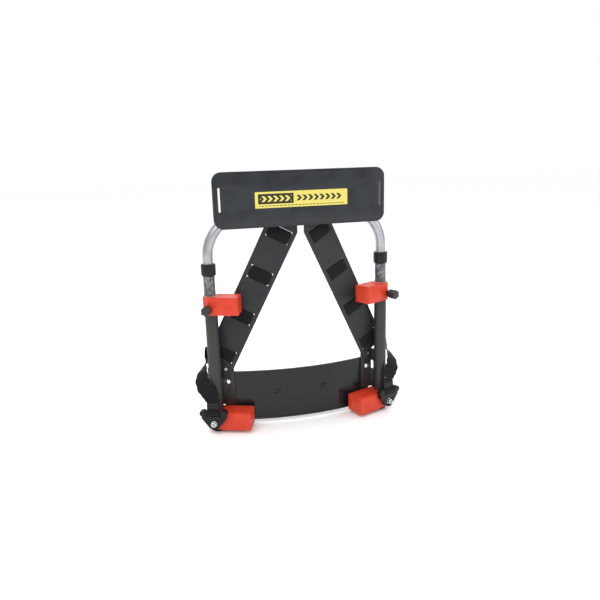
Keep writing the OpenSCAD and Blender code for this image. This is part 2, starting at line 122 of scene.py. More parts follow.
@dataclass(frozen=True)
class Finish:
    """A surface finish. Its patterns are sized in millimetres of the real surface."""

    name: str
    colour: str
    roughness: float
    slot: str
    metallic: float = 0.0
    specular: float = 0.5
    sheen: float = 0.0

    def material(self) -> bpy.types.Material:
        """Makes the finish's material once, and gives the same one after that."""
        made = bpy.data.materials.get(self.name)
        if made:
            return made
        made = bpy.data.materials.new(self.name)
        made.use_nodes = True
        tree = made.node_tree
        shader = tree.nodes["Principled BSDF"]
        values = {
            "Base Color": linear(self.colour), "Roughness": self.roughness,
            "Metallic": self.metallic, "Specular IOR Level": self.specular,
            "Sheen Weight": self.sheen, "Sheen Roughness": SHEEN_ROUGHNESS,
        }
        for name, value in values.items():
            shader.inputs[name].default_value = value
        made.diffuse_color = linear(self.colour)
        self.pattern(tree, shader)
        return made

    def pattern(self, tree: bpy.types.NodeTree, shader: bpy.types.Node) -> None:
        """Adds the finish's own pattern. The plain finish has none."""

    def place(self, tree: bpy.types.NodeTree) -> bpy.types.NodeSocket:
        """Gives the surface's place on the object, in metres."""
        return add_node(tree, "ShaderNodeTexCoord").outputs["Object"]

    def noise(
        self, tree: bpy.types.NodeTree, size_mm: float, detail: float = 2.0,
        stretch: Sequence[float] = (1.0, 1.0, 1.0),
    ) -> bpy.types.NodeSocket:
        """Makes a noise whose lumps have a real size.

        Args:
            tree: the material's node tree.
            size_mm: size of one lump in millimetres.
            detail: octaves of finer noise.
            stretch: scale of the pattern along X, Y and Z.

        Returns:
            The noise's value, about 0.5 in the mean.
        """
        place = add_node(
            tree, "ShaderNodeMapping", {}, {"Vector": self.place(tree), "Scale": stretch},
        )
        return add_node(
            tree, "ShaderNodeTexNoise", {},
            {"Vector": place.outputs[0], "Scale": 1 / (size_mm * MM), "Detail": detail},
        ).outputs["Fac"]

    def spread(
        self, tree: bpy.types.NodeTree, value: bpy.types.NodeSocket, low: float, high: float,
        low_from: float = 0.3, high_from: float = 0.7,
    ) -> bpy.types.NodeSocket:
        """Maps a noise's useful range to a range of another value."""
        return add_node(
            tree, "ShaderNodeMapRange", {},
            {"Value": value, "From Min": low_from, "From Max": high_from,
             "To Min": low, "To Max": high},
        ).outputs[0]

    def tint(
        self, tree: bpy.types.NodeTree, factor: bpy.types.NodeSocket, first: str, second: str,
    ) -> bpy.types.NodeSocket:
        """Mixes two colours by a factor."""
        mix = add_node(
            tree, "ShaderNodeMix", {"data_type": "RGBA"},
            {"Factor": factor, 6: linear(first), 7: linear(second)},
        )
        return mix.outputs[2]

    def raise_by(
        self, tree: bpy.types.NodeTree, shader: bpy.types.Node, height: bpy.types.NodeSocket,
        height_mm: float, strength: float = 0.5,
    ) -> None:
        """Gives the shader a bump of a real height."""
        bump = add_node(
            tree, "ShaderNodeBump", {},
            {"Height": height, "Distance": height_mm * MM, "Strength": strength},
        )
        tree.links.new(bump.outputs[0], shader.inputs["Normal"])


@dataclass(frozen=True)
class MouldedPlastic(Finish):
    """Injection-moulded plastic: a spark-eroded grain, with faint handling marks and dust."""

    grain_mm: float = 0.9
    grain_height_mm: float = 0.06
    # Second colour of the slow blotches: marks and dust on most finishes; on the panel rim and block edges,
    # a varied tone of their painted highlight
    wear_and_highlight_colour: str = "#000000"
    mark_mm: float = 38.0
    roughness_swing: float = 0.07

    def pattern(self, tree: bpy.types.NodeTree, shader: bpy.types.Node) -> None:
        """Adds grain to the bump, and slow change to the colour and gloss."""
        slow = self.noise(tree, self.mark_mm, 4.0)
        colour = self.tint(tree, self.spread(tree, slow, 0.0, 1.0), self.colour, self.wear_and_highlight_colour)
        tree.links.new(colour, shader.inputs["Base Color"])
        low, high = self.roughness - self.roughness_swing, self.roughness + self.roughness_swing
        tree.links.new(self.spread(tree, slow, low, high), shader.inputs["Roughness"])
        self.raise_by(tree, shader, self.noise(tree, self.grain_mm), self.grain_height_mm)


@dataclass(frozen=True)
class DrawnTube(Finish):
    """Drawn metal tube: fine lines along its length, and scuffs where tubes slide in each other."""

    line_mm: float = 1.6
    scuff_mm: float = 14.0
    scuff_colour: str = "#8d9094"
    scuff_from: float = 0.5
    scuff_to: float = 0.62

    def pattern(self, tree: bpy.types.NodeTree, shader: bpy.types.Node) -> None:
        """Adds lines along Z to the bump, and scuffs to the colour and gloss."""
        lines = self.noise(tree, self.line_mm, 3.0, (1.0, 1.0, 0.03))
        scuffs = self.noise(tree, self.scuff_mm, 6.0, (1.0, 1.0, 0.5))
        worn = self.spread(tree, scuffs, 0.0, 1.0, self.scuff_from, self.scuff_to)
        colour = self.tint(tree, worn, self.colour, self.scuff_colour)
        tree.links.new(colour, shader.inputs["Base Color"])
        gloss = self.spread(tree, scuffs, self.roughness, self.roughness + 0.14)
        tree.links.new(gloss, shader.inputs["Roughness"])
        self.raise_by(tree, shader, lines, 0.05, 0.35)


@dataclass(frozen=True)
class PowderCoat(Finish):
    """Powder-coated metal: an orange-peel skin that is a little glossier on its crests."""

    peel_mm: float = 1.8

    def pattern(self, tree: bpy.types.NodeTree, shader: bpy.types.Node) -> None:
        """Adds the orange peel to the bump and gloss."""
        peel = self.noise(tree, self.peel_mm, 1.0)
        gloss = self.spread(tree, peel, self.roughness + 0.06, self.roughness - 0.06)
        tree.links.new(gloss, shader.inputs["Roughness"])
        dusty = self.spread(tree, self.noise(tree, 30.0, 4.0), 0.0, 0.5)
        tree.links.new(self.tint(tree, dusty, self.colour, "#1b1c1e"), shader.inputs["Base Color"])
        self.raise_by(tree, shader, peel, 0.08, 0.4)


@dataclass(frozen=True)
class PolishedMetal(Finish):
    """Plated or turned metal: even gloss, with a faint haze of fine scratches."""

    haze_mm: float = 4.0

    def pattern(self, tree: bpy.types.NodeTree, shader: bpy.types.Node) -> None:
        """Adds the haze to the gloss and a very low bump."""
        haze = self.noise(tree, self.haze_mm, 5.0)
        gloss = self.spread(tree, haze, self.roughness, self.roughness + 0.12)
        tree.links.new(gloss, shader.inputs["Roughness"])
        self.raise_by(tree, shader, haze, 0.02, 0.2)


@dataclass(frozen=True)
class Webbing(Finish):
    """Woven nylon webbing, read along its own length and width.

    A real rib is about 1 mm wide; it is drawn at 2 mm so that it shows.
    """

    rib_mm: float = 2.0
    pick_mm: float = 2.6
    rib_colour: str = "#19191b"

    def pattern(self, tree: bpy.types.NodeTree, shader: bpy.types.Node) -> None:
        """Adds ribs across the band and lines along it to the colour and bump."""
        cloth = add_node(tree, "ShaderNodeUVMap", {"uv_map": "webbing"}).outputs[0]
        waves = [
            add_node(
                tree, "ShaderNodeTexWave", {"bands_direction": way, "wave_profile": "SIN"},
                {"Vector": cloth, "Scale": math.pi / (20 * size * MM), "Distortion": 0.4,
                 "Detail": 1.0},
            ).outputs["Fac"]
            for way, size in (("X", self.rib_mm), ("Y", self.pick_mm))
        ]
        weave = add_node(
            tree, "ShaderNodeMath", {"operation": "MULTIPLY"}, {0: waves[0], 1: waves[1]},
        )
        colour = self.tint(tree, weave.outputs[0], self.colour, self.rib_colour)
        tree.links.new(colour, shader.inputs["Base Color"])
        self.raise_by(tree, shader, weave.outputs[0], 0.4, 0.7)


@dataclass(frozen=True)
class SpacerMesh(Finish):
    """Knitted spacer mesh over foam: round open cells, about 4 mm apart, with a soft sheen."""

    cell_mm: float = 4.0
    hole_colour: str = "#101012"

    def pattern(self, tree: bpy.types.NodeTree, shader: bpy.types.Node) -> None:
        """Adds the cells to the colour and bump."""
        cells = add_node(
            tree, "ShaderNodeTexVoronoi", {},
            {"Vector": self.place(tree), "Scale": 1 / (self.cell_mm * MM), "Randomness": 0.35},
        ).outputs["Distance"]
        open_cell = self.spread(tree, cells, 1.0, 0.0, 0.18, 0.42)
        colour = self.tint(tree, open_cell, self.colour, self.hole_colour)
        tree.links.new(colour, shader.inputs["Base Color"])
        self.raise_by(tree, shader, self.spread(tree, cells, 0.0, 1.0, 0.15, 0.45), 0.8, 0.8)


@dataclass(frozen=True)
class PrintedLabel(Finish):
    """Printed vinyl film: a black box of pale chevrons, a row of black ones and a broken line."""

    ink: str = "#17170f"
    middle_z: float = 527.5 * MM
    box_middle: float = -56 * MM
    box_half: float = 38 * MM
    box_half_height: float = 10.5 * MM
    row_middle: float = 38 * MM
    row_half: float = 50 * MM
    row_half_height: float = 6 * MM
    chevron: float = 12.5 * MM
    line_drop: float = 14.5 * MM
    line_half: float = 0.7 * MM
    line_reach: float = 93 * MM
    dash: float = 8 * MM

    def pattern(self, tree: bpy.types.NodeTree, shader: bpy.types.Node) -> None:
        """Draws the ink by distance from the label's middle."""

        def math_node(
            operation: str, *values: float | bpy.types.NodeSocket,
        ) -> bpy.types.NodeSocket:
            """Adds one step of arithmetic and gives its result."""
            inputs = dict(enumerate(values))
            return add_node(tree, "ShaderNodeMath", {"operation": operation}, inputs).outputs[0]

        axes = add_node(tree, "ShaderNodeSeparateXYZ", {}, {0: self.place(tree)})
        across = axes.outputs["X"]
        up = math_node("SUBTRACT", axes.outputs["Z"], self.middle_z)
        high = math_node("ABSOLUTE", up)

        def within(middle: float, half: float, half_height: float) -> bpy.types.NodeSocket:
            """Gives 1 inside an upright box on the label."""
            near = math_node("COMPARE", across, middle, half)
            return math_node("MULTIPLY", near, math_node("LESS_THAN", high, half_height))

        point = math_node("DIVIDE", math_node("ADD", across, high), self.chevron)
        arrow = math_node("GREATER_THAN", math_node("FRACT", point), 0.5)
        pale = math_node(
            "MULTIPLY", arrow, within(self.box_middle, self.box_half * 0.88, self.row_half_height),
        )
        frame_box = within(self.box_middle, self.box_half, self.box_half_height)
        box = math_node("SUBTRACT", frame_box, pale)
        row = math_node(
            "MULTIPLY", arrow, within(self.row_middle, self.row_half, self.row_half_height),
        )
        step = math_node("FRACT", math_node("DIVIDE", across, self.dash))
        dashes = math_node("LESS_THAN", step, 0.75)
        line = math_node(
            "MULTIPLY",
            math_node("COMPARE", up, -self.line_drop, self.line_half),
            math_node("MULTIPLY", dashes, math_node("COMPARE", across, 0.0, self.line_reach)),
        )
        ink = math_node("MAXIMUM", box, math_node("MAXIMUM", row, line))
        tree.links.new(self.tint(tree, ink, self.colour, self.ink), shader.inputs["Base Color"])
        self.raise_by(tree, shader, self.noise(tree, 6.0), 0.03, 0.3)


# 6061 aluminium tube, tumbled and clear anodised: bright, with a soft streak along the bend
HOOP_ALUMINIUM = DrawnTube(
    "clear_anodised_aluminium", "#adafb3", 0.27, "anodised_tube", metallic=1.0,
    line_mm=1.4, scuff_mm=22.0, scuff_colour="#9a9ca0", scuff_from=0.52, scuff_to=0.7,
)
# Grey anodised tube that has been scraped bare by the collar: mottled, half dull and half bright
SCUFFED_TUBE = DrawnTube(
    "scuffed_grey_anodising", "#55575a", 0.36, "scratched_steel", metallic=0.85,
    scuff_mm=5.0, scuff_colour="#868a8e", scuff_from=0.42, scuff_to=0.6,
)
# Aluminium with black powder coat: dark, with a broad soft highlight down the tube
BLACK_POWDER = PowderCoat("black_powder_coat", "#0b0c0d", 0.32, "black_powder_coat", specular=0.26)
# The same coat on cast brackets, which is coarser because of the sand-cast skin
CAST_BLACK = PowderCoat(
    "black_coated_casting", "#0a0b0c", 0.32, "black_powder_coat", specular=0.26, peel_mm=2.6,
)
# Injection-moulded ABS with a satin spark texture: reflects the room as a grey veil
PANEL_ABS = MouldedPlastic(
    "satin_black_abs", "#1d2024", 0.33, "moulded_black", wear_and_highlight_colour="#262a2e", specular=0.42,
    grain_mm=1.1, grain_height_mm=0.04,
)
# The panel's rounded rims: smoother, and pale with a painted highlight that draws the rim as a light line
PANEL_RIM_HIGHLIGHT = MouldedPlastic(
    "abs_rim_painted_highlight", "#6a6e73", 0.2, "moulded_black", wear_and_highlight_colour="#7a7e83", specular=0.7,
    mark_mm=30.0,
)
# Acetal collars and caps: darker and a little smoother than the panel
COLLAR_ACETAL = MouldedPlastic(
    "black_acetal", "#0d0e0f", 0.3, "moulded_black", wear_and_highlight_colour="#141517", specular=0.3,
    grain_mm=1.0, grain_height_mm=0.03,
)
# Glass-filled nylon dyed red: matte, with glass showing as a slight blotch
RED_NYLON = MouldedPlastic(
    "red_glass_filled_nylon", "#cd3c22", 0.46, "red_block", wear_and_highlight_colour="#bd331c", grain_mm=1.2,
    grain_height_mm=0.05, mark_mm=24.0, specular=0.35,
)
# The same nylon on its rounded corners: smoother, and paler with a painted highlight along the edges
RED_NYLON_EDGE_HIGHLIGHT = MouldedPlastic(
    "red_nylon_edge_painted_highlight", "#e0704f", 0.38, "red_block", wear_and_highlight_colour="#cf5034", mark_mm=6.0,
    specular=0.4,
)
# Moulded thumb screw head in nylon over a steel stud
KNOB_NYLON = MouldedPlastic(
    "black_nylon_knob", "#1b1c1e", 0.45, "knob_black", wear_and_highlight_colour="#26272a", grain_mm=1.0,
)
# Die-cut polyethylene sheet: dull, with long faint scuffs
STRAP_SHEET = MouldedPlastic(
    "cut_polyethylene_sheet", "#232528", 0.47, "strap_sheet", wear_and_highlight_colour="#2b2d30", specular=0.28,
    grain_mm=1.5, grain_height_mm=0.05, mark_mm=60.0,
)
# Thermoformed ABS sheet: satin, smooth enough to show the red blocks in it
HIP_SHEET = MouldedPlastic(
    "formed_abs_sheet", "#0f1012", 0.18, "hip_sheet", wear_and_highlight_colour="#151619", grain_mm=2.0,
    grain_height_mm=0.02, mark_mm=70.0, specular=0.36,
)
# Moulded nylon screw plates on the hip plate
BLACK_FASTENER = MouldedPlastic(
    "black_nylon_fastener", "#08080a", 0.4, "black_fastener", wear_and_highlight_colour="#0d0d0f",
)
# Natural nylon sleeves, rings and shoes, yellowed a little
NATURAL_NYLON = MouldedPlastic("natural_nylon", "#d9d5c6", 0.45, "nylon", wear_and_highlight_colour="#cfc9b5")
# Zinc-plated steel screws, rivets and nuts: a grey, slightly hazy shine
ZINC_STEEL = PolishedMetal("zinc_plated_steel", "#b4b6b4", 0.3, "zinc_steel", metallic=1.0)
# Chrome-plated dome nuts and bolts: near mirror
CHROME = PolishedMetal("chrome_plated_steel", "#dfe1e3", 0.1, "chrome", metallic=1.0)
# Turned brass inserts
BRASS = PolishedMetal("turned_brass", "#c9a24f", 0.28, "brass", metallic=1.0)
# Nylon webbing, 50 mm and 32 mm: dull black with a sheen on its ribs
BLACK_WEBBING = Webbing("black_nylon_webbing", "#0c0c0e", 0.7, "webbing", specular=0.15, sheen=0.06)
# Bonded nylon thread on the bar tacks
THREAD = Finish("bonded_nylon_thread", "#6f7174", 0.6, "webbing", sheen=0.3)
# Polyester spacer mesh on the pads
PAD_MESH = SpacerMesh("polyester_spacer_mesh", "#34363a", 0.85, "pad_mesh", sheen=0.4)
# Yellow vinyl film with black ink: satin, with a slight ripple from the panel's grain
LABEL_FILM = PrintedLabel("printed_vinyl_film", "#d2c462", 0.36, "label_film")


# ---- mesh helpers ------------------------------------------------------------------


def dress(piece: bpy.types.Object, *finishes: Finish) -> bpy.types.Object:
    """Gives a piece its materials.

    Args:
        piece: the piece or CAD node.
        finishes: its finishes, in the order of the mesh's material numbers.

    Returns:
        The same piece.
    """
    piece.data.materials.clear()
    for finish in finishes:
        piece.data.materials.append(finish.material())
    return piece


def linked(name: str, mesh: bpy.types.Mesh) -> bpy.types.Object:
    """Makes an object for a mesh and links it to the scene."""
    piece = bpy.data.objects.new(name, mesh)
    bpy.context.scene.collection.objects.link(piece)
    return piece


def settle(piece: bpy.types.Object) -> None:
    """Applies every modifier of a piece."""
    shown = piece.evaluated_get(bpy.context.evaluated_depsgraph_get())
    piece.data = bpy.data.meshes.new_from_object(shown)
    piece.modifiers.clear()


def smooth(piece: bpy.types.Object, sharp_deg: float = 40.0) -> None:
    """Shades a piece smooth, apart from edges sharper than an angle."""
    piece.data.shade_smooth()
    piece.data.set_sharp_from_angle(angle=math.radians(sharp_deg))


def clean_copy(node: str, name: str) -> bpy.types.Object:
    """Copies a CAD node as a welded mesh whose flat faces are whole."""
    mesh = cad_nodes[node].data.copy()
    copy = bmesh.new()
    copy.from_mesh(mesh)
    bmesh.ops.remove_doubles(copy, verts=copy.verts, dist=0.01 * MM)
    bmesh.ops.dissolve_limit(
        copy, angle_limit=math.radians(0.6), verts=copy.verts, edges=copy.edges,
    )
    copy.to_mesh(mesh)
    copy.free()
    for layer in list(mesh.attributes):
        if layer.name in ("custom_normal", "sharp_face", "sharp_edge"):
            mesh.attributes.remove(layer)
    return linked(name, mesh)


def rounded_copy(
    node: str, body: str, radius: float, *finishes: Finish, steps: int = 3, from_deg: float = 35.0,
) -> bpy.types.Object:
    """Stands for a CAD node with the same shape, its edges rounded as moulded or cut ones are.

    Args:
        node: the CAD node.
        body: the CAD body it rides on.
        radius: width of the rounding.
        finishes: the finish, and optionally another one for the rounded edges.
        steps: facets across a rounding.
        from_deg: edges sharper than this are rounded.

    Returns:
        The new piece.
    """
    piece = clean_copy(node, f"{node}_body")
    rounding = piece.modifiers.new("edges", "BEVEL")
    rounding.limit_method = "ANGLE"
    rounding.angle_limit = math.radians(from_deg)
    rounding.width = radius
    rounding.segments = steps
    # The rounded edges take the last finish: a painted highlight on the head panel and the red blocks
    rounding.material = len(finishes) - 1
    rounding.use_clamp_overlap = True
    settle(piece)
    smooth(piece)
    dress(piece, *finishes)
    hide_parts(node)
    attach(piece, body)
    return piece


def smooth_path(points: Sequence[Vector], steps: int) -> list[Vector]:
    """Runs a Catmull-Rom curve through points.

    Args:
        points: what the curve passes through.
        steps: points made for each stretch.

    Returns:
        Points along the curve, with the first and last of the given ones at its ends.
    """
    ends = [points[0] * 2 - points[1], *points, points[-1] * 2 - points[-2]]
    made = []
    for a, b, c, d in zip(ends, ends[1:], ends[2:], ends[3:]):
        for i in range(steps):
            t = i / steps
            made.append(
                0.5 * (2 * b + (c - a) * t + (2 * a - 5 * b + 4 * c - d) * t**2
                       + (3 * b - a - 3 * c + d) * t**3)
            )
    return [*made, points[-1].copy()]


@dataclass
class Band:
    """A woven band: its middle line, the way its width lies at each point, and its section."""

    name: str
    line: list[Vector]
    widths: list[Vector]
    width: float
    thickness: float = 1.6 * MM
    closed: bool = False

    def section(self) -> list[tuple[float, float]]:
        """Outline of the section as shares of the half width and half thickness."""
        flat = [(-1.0, 0.0), (-0.985, 0.75), (-0.93, 1.0)]
        middle = [(x / 10, 1.0) for x in range(-8, 9, 2)]
        upper = [*flat, *middle, (0.93, 1.0), (0.985, 0.75)]
        return [*upper, *[(-x, -y) for x, y in upper]]

    def build(self) -> bpy.types.Object:
        """Sweeps the section along the line, with a UV map in metres."""
        outline = self.section()
        count = len(self.line)
        verts: list[Vector] = []
        along = [0.0]
        for i, point in enumerate(self.line):
            before = self.line[i - 1] if i or self.closed else point
            after = self.line[(i + 1) % count] if i < count - 1 or self.closed else point
            wide = self.widths[i].normalized()
            up = wide.cross(after - before).normalized()
            for x, y in outline:
                verts.append(point + (wide * x * self.width + up * y * self.thickness) / 2)
            along.append(along[-1] + (self.line[(i + 1) % count] - point).length)
        faces, cloth = [], []
        size = len(outline)
        spans = count if self.closed else count - 1
        for i in range(spans):
            for k in range(size):
                m = (k + 1) % size
                j = (i + 1) % count
                faces.append((i * size + k, i * size + m, j * size + m, j * size + k))
                x0, x1 = (outline[n][0] * self.width / 2 for n in (k, m))
                start, end = along[i], along[i + 1]
                cloth.append(((x0, start), (x1, start), (x1, end), (x0, end)))
        if not self.closed:
            for start, end in ((0, 0.0), ((count - 1) * size, along[count - 1])):
                faces.append(tuple(range(start, start + size)))
                cloth.append(tuple((x * self.width / 2, end) for x, _ in outline))
        mesh = bpy.data.meshes.new(self.name)
        mesh.from_pydata(verts, [], faces)
        uv = mesh.uv_layers.new(name="webbing")
        for face, corners in zip(mesh.polygons, cloth):
            for loop, corner in zip(face.loop_indices, corners):
                uv.data[loop].uv = corner
        ordered = bmesh.new()
        ordered.from_mesh(mesh)
        bmesh.ops.recalc_face_normals(ordered, faces=ordered.faces)
        ordered.to_mesh(mesh)
        ordered.free()
        piece = linked(self.name, mesh)
        smooth(piece, 60.0)
        return piece


def joined(name: str, pieces: Iterable[bpy.types.Object]) -> bpy.types.Object:
    """Joins meshes that have the same layers into one object."""
    pieces = list(pieces)
    mesh = bpy.data.meshes.new(name)
    whole = bmesh.new()
    for piece in pieces:
        whole.from_mesh(piece.data)
    whole.to_mesh(mesh)
    whole.free()
    for piece in pieces:
        bpy.data.objects.remove(piece)
    made = linked(name, mesh)
    smooth(made, 60.0)
    return made


def stitch_row(
    name: str, line: Sequence[Vector], out: Sequence[Vector], size: float,
) -> bpy.types.Object:
    """Makes a row of short raised threads.

    Args:
        name: the piece's name.
        line: start and end of each stitch in turn, two points for each.
        out: the surface's outward direction at each stitch.
        size: radius of the thread.

    Returns:
        One mesh that holds the stitches.
    """
    whole = bmesh.new()
    for i, way in enumerate(out):
        start, end = line[2 * i], line[2 * i + 1]
        run = end - start
        turn = run.to_track_quat("Z", "Y").to_matrix().to_4x4()
        place = Matrix.Translation((start + end) / 2 + way * size * 0.3) @ turn
        stretch = Matrix.Diagonal((size, size, run.length / 2, 1.0))
        bmesh.ops.create_icosphere(whole, subdivisions=1, radius=1.0, matrix=place @ stretch)
    mesh = bpy.data.meshes.new(name)
    whole.to_mesh(mesh)
    whole.free()
    piece = linked(name, mesh)
    smooth(piece, 80.0)
    return piece


def shrink(piece: bpy.types.Object, by: float) -> None:
    """Moves every point of a closed shell inwards."""
    shell = bmesh.new()
    shell.from_mesh(piece.data)
    bmesh.ops.triangulate(shell, faces=shell.faces)
    shell.normal_update()
    for vertex in shell.verts:
        vertex.co -= vertex.normal * by
    shell.to_mesh(piece.data)
    shell.free()


def puffed(piece: bpy.types.Object, voxel: float, cap: float) -> None:
    """Swells a closed shell as its foam does, by a cloth simulation.

    Args:
        piece: the shell, a little smaller than the pad.
        voxel: size of the remeshed faces.
        cap: the most that a point may move.
    """
    remesh = piece.modifiers.new("remesh", "REMESH")
    remesh.mode = "VOXEL"
    remesh.voxel_size = voxel
    settle(piece)
    rest = [v.co.copy() for v in piece.data.vertices]
    cloth = piece.modifiers.new("cloth", "CLOTH")
    cloth.settings.use_pressure = True
    cloth.settings.uniform_pressure_force = CLOTH_PRESSURE
    cloth.settings.effector_weights.gravity = 0.0
    scene = bpy.context.scene
    for frame_number in range(1, CLOTH_FRAMES + 1):
        scene.frame_set(frame_number)
    settle(piece)
    scene.frame_set(1)
    for vertex, start in zip(piece.data.vertices, rest):
        move = vertex.co - start
        if move.length > cap:
            vertex.co = start + move.normalized() * cap
    soften = piece.modifiers.new("soften", "SMOOTH")
    soften.iterations = 4
    finer = piece.modifiers.new("finer", "SUBSURF")
    finer.levels = 1
    finer.render_levels = 1
    settle(piece)
    smooth(piece, 180.0)


# ---- sub-assemblies -------------------------------------------------------------------


@dataclass
class Layout:
    """Places that several sub-assemblies share, as in the CAD model."""

    half_gap: float = 200 * MM
    plane_y: float = 12 * MM
    bolt_x: float = 169.8 * MM
    plate_y: float = -8 * MM
    plate_bend: float = 560 * MM
    plate_thickness: float = 4 * MM
    tab_stack: float = 4.2 * MM

    @property
    def fan(self) -> float:
        """Angle by which a strap panel and the hip plate's ends are turned about Z."""
        return math.asin(self.bolt_x / self.plate_bend)

    @property
    def tab_y(self) -> float:
        """Where the hip plate's load face stands at its bolts."""
        return self.plane_y + self.plate_y + self.plate_bend * (1 - math.cos(self.fan))


@dataclass
class TubeSet:
    """Telescoping tubes, collars and their small parts."""

    edge: float = 0.7 * MM

    def build(self) -> None:
        """Dresses the tubes and rounds the collars."""
        dress(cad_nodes["hoop_tube"], HOOP_ALUMINIUM)
        dress(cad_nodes["end_caps"], COLLAR_ACETAL)
        dress(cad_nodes["collets"], NATURAL_NYLON)
        dress(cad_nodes["tube_rivets"], ZINC_STEEL)
        for side in Side:
            dress(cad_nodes[f"upper_tube_{side.value}"], SCUFFED_TUBE)
            dress(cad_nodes[f"lower_tube_{side.value}"], BLACK_POWDER)
            collar = f"collar_{side.value}"
            rounded_copy(collar, collar, self.edge, COLLAR_ACETAL)
        log.info("tubes: hoop, two telescoping legs, two collars")


@dataclass
class HeadPanel:
    """Moulded panel, its printed label and its clips."""

    edge: float = 2.2 * MM
    small_edge: float = 0.5 * MM

    def build(self) -> None:
        """Rounds the panel and clips and prints the label."""
        # The rim finish is a painted highlight on the panel's rounded edges
        rounded_copy("head_panel", "hoop", self.edge, PANEL_ABS, PANEL_RIM_HIGHLIGHT, steps=4)
        rounded_copy("panel_clips", "hoop", self.small_edge, COLLAR_ACETAL)
        dress(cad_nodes["label_plate"], LABEL_FILM)
        dress(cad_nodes["clip_screws"], ZINC_STEEL)
        log.info("head panel: tray, label, two clips")


@dataclass
class StrapPanels:
    """Two cut sheet panels in a V, laced with webbing through their slots."""

    layout: Layout
    pin_x: float = 37 * MM
    top_z: float = 469 * MM
    inner: float = -1.1 * MM
    wide: float = 68 * MM
    front_slope_deg: float = 25.5
    thickness: float = 3 * MM
    outer_cut: float = 193 * MM
    first: float = 22 * MM
    pitch: float = 101.5 * MM
    bridge: float = 27 * MM
    web_width: float = 49.4 * MM
    web_thickness: float = 1.6 * MM
    edge: float = 0.6 * MM
    patches: int = 4

    @property
    def slope(self) -> float:
        """Slope of the strap in its own plane, from upright."""
        return math.atan(math.tan(math.radians(self.front_slope_deg)) / math.cos(self.layout.fan))

    @property
    def middle(self) -> float:
        """Where the strap's middle line is at its top, across its own plane."""
        front_width = self.wide / math.cos(math.radians(self.front_slope_deg))
        return (self.inner + front_width / 2 - self.pin_x) / math.cos(self.layout.fan)

    @property
    def pin_y(self) -> float:
        """Where the strap's plane stands at its pin line."""
        stack = self.layout.tab_stack + 0.2 * MM + self.thickness / 2
        rise = (self.layout.bolt_x - self.pin_x) * math.tan(self.layout.fan)
        return self.layout.tab_y - stack / math.cos(self.layout.fan) - rise

    def axes(self, side: Side) -> tuple[Vector, Vector, Vector]:
        """Unit directions across the strap, down it and towards the wearer."""
        fan, slope = self.layout.fan, self.slope
        flat = Vector((math.cos(fan), math.sin(fan), 0))
        up = Vector((0, 0, 1))
        across = math.cos(slope) * flat + math.sin(slope) * up
        down = math.sin(slope) * flat - math.cos(slope) * up
        out = Vector((-math.sin(fan), math.cos(fan), 0))
        return tuple(Vector((side.sign * v.x, v.y, v.z)) for v in (across, down, out))

    def point(self, side: Side, along: float, wide: float, out: float) -> Vector:
        """A point given by its distance down the strap, across it and out from its middle plane."""
        fan = self.layout.fan
        start = Vector((
            side.sign * (self.pin_x + self.middle * math.cos(fan)),
            self.pin_y + self.middle * math.sin(fan),
            self.top_z,
        ))
        across, down, away = self.axes(side)
        return start + across * wide + down * along + away * out

    def loop(self, side: Side, number: int) -> bpy.types.Object:
        """Makes one webbing loop round the bridge between two slots."""
        centre = self.first + number * self.pitch
        half_run = self.bridge / 2
        depth = self.thickness / 2 + 0.35 * MM + self.web_thickness / 2
        line = []
        steps = 12
        for face in (-1, 1):
            for i in range(steps):
                share = -1 + 2 * (i + 0.5) / steps
                lift = depth + 0.7 * MM * (1 - share * share)
                line.append((face * -share * half_run * 0.96, face * lift))
            line.append((-face * half_run, face * depth * 0.55))
            line.append((-face * half_run, -face * depth * 0.55))
        points = [self.point(side, centre + a, 0.0, v) for a, v in line]
        across = self.axes(side)[0]
        band = Band(
            f"loop_{number}", points, [across] * len(points), self.web_width,
            self.web_thickness, True,
        )
        return band.build()

    def trimmed(self, piece: bpy.types.Object, side: Side) -> None:
        """Cuts a piece off where the strap panel is cut off beside the tube."""
        cut = bmesh.new()
        cut.from_mesh(piece.data)
        made = bmesh.ops.bisect_plane(
            cut, geom=[*cut.verts, *cut.edges, *cut.faces], clear_outer=True,
            plane_co=(side.sign * self.outer_cut, 0, 0), plane_no=(side.sign, 0, 0),
        )
        edges = [e for e in made["geom_cut"] if isinstance(e, bmesh.types.BMEdge)]
        bmesh.ops.holes_fill(cut, edges=edges)
        cut.to_mesh(piece.data)
        cut.free()

    def build(self) -> None:
        """Builds both panels and their lacing."""
        for side in Side:
            rounded_copy(f"strap_panel_{side.value}", "frame", self.edge, STRAP_SHEET, steps=2)
            loops = [self.loop(side, number) for number in range(self.patches)]
            self.trimmed(loops[-1], side)
            lacing = joined(f"webbing_lacing_{side.value}", loops)
            dress(lacing, BLACK_WEBBING)
            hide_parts(f"lacing_{side.value}")
            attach(lacing, "frame")
        log.info("strap panels: two sheets, %d lacings each", self.patches)


